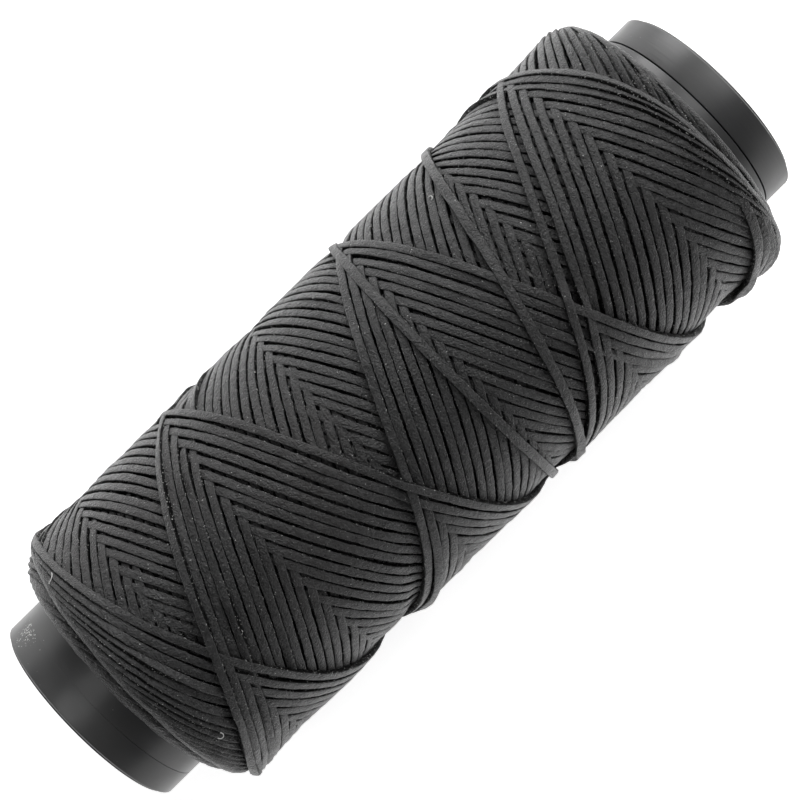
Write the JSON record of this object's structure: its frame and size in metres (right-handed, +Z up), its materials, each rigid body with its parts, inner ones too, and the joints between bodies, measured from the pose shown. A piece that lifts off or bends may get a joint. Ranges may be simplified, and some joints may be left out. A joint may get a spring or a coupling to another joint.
{
  "type": "waxed thread spool",
  "caption": "Hollow plastic winding tube with a pressed-in ring at each end, cross-wound with black waxed braided thread whose last wraps lie over the winding.",
  "frame": {"origin": "middle of the footprint of the spool lying on its side, under the middle of the tube", "axes": "+X along the tube's axis towards the end with the wider end ring, +Z up"},
  "size_m": [0.096, 0.0369, 0.037],
  "materials": {
    "tube_plastic": "satin",
    "ring_plastic": "satin",
    "waxed_thread": "satin"
  },
  "bodies": {
    "root": {"core_tube": "tube_plastic", "end_ring_plus": "ring_plastic", "end_ring_minus": "ring_plastic", "thread_base_winding": "waxed_thread", "thread_outer_winding": "waxed_thread", "thread_last_wraps": "waxed_thread"}
  },
  "joints": []
}
